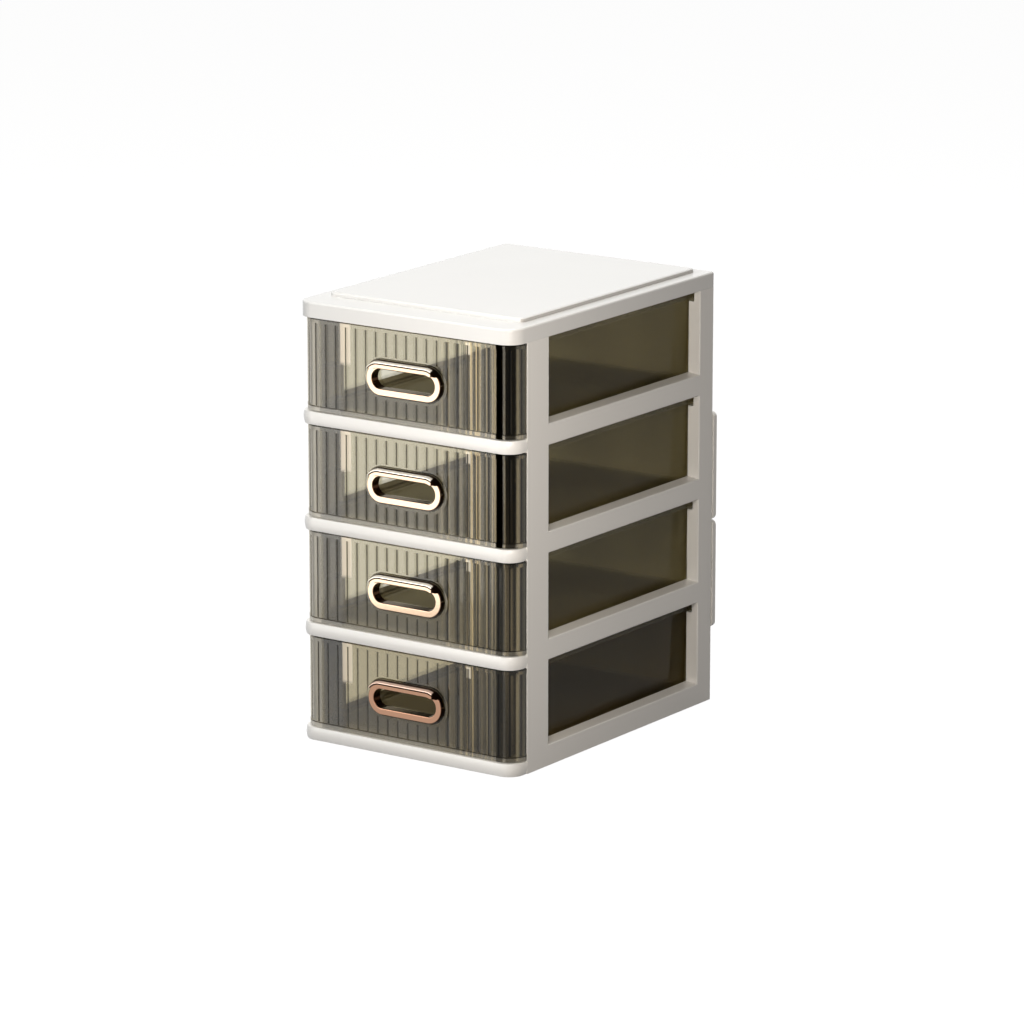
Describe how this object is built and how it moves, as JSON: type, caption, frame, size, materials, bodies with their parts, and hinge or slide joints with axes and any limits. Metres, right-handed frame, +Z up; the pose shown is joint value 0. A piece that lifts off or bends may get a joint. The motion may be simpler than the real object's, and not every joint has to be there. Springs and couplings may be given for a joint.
{
  "type": "desktop drawer cabinet",
  "caption": "Free-standing desktop cabinet with a white frame, tinted fluted drawers that slide out to the front, side windows and plated finger pulls.",
  "frame": {"origin": "middle of the footprint, on the surface that the cabinet stands on", "axes": "+X to the cabinet's left as it faces forward (right when looking at the drawer fronts), +Y to the back, +Z up; the drawers open towards -Y"},
  "size_m": [0.18, 0.2544, 0.3113],
  "materials": {
    "white_frame": "smooth moulded, semi-gloss",
    "tinted_drawer": "clear moulded plastic with an olive-brown smoke tint, glossy",
    "plated_pull": "plated in pale rose gold, mirror-like"
  },
  "bodies": {
    "cabinet": {"base": "white_frame", "divider_1": "white_frame", "divider_2": "white_frame", "divider_3": "white_frame", "side_frame_left": "white_frame", "side_frame_right": "white_frame", "top_cover": "white_frame", "back_panel": "white_frame", "rear_tie_lower": "white_frame", "rear_tie_upper": "white_frame"},
    "drawer_1_body": {"drawer_1": "tinted_drawer", "pull_1": "plated_pull"},
    "drawer_2_body": {"drawer_2": "tinted_drawer", "pull_2": "plated_pull"},
    "drawer_3_body": {"drawer_3": "tinted_drawer", "pull_3": "plated_pull"},
    "drawer_4_body": {"drawer_4": "tinted_drawer", "pull_4": "plated_pull"}
  },
  "joints": [
    {"name": "drawer_1_slide", "type": "slide", "parent": "cabinet", "child": "drawer_1_body", "axis": [0, -1, 0], "range_m": [0, 0.186]},
    {"name": "drawer_2_slide", "type": "slide", "parent": "cabinet", "child": "drawer_2_body", "axis": [0, -1, 0], "range_m": [0, 0.186]},
    {"name": "drawer_3_slide", "type": "slide", "parent": "cabinet", "child": "drawer_3_body", "axis": [0, -1, 0], "range_m": [0, 0.186]},
    {"name": "drawer_4_slide", "type": "slide", "parent": "cabinet", "child": "drawer_4_body", "axis": [0, -1, 0], "range_m": [0, 0.186]}
  ]
}
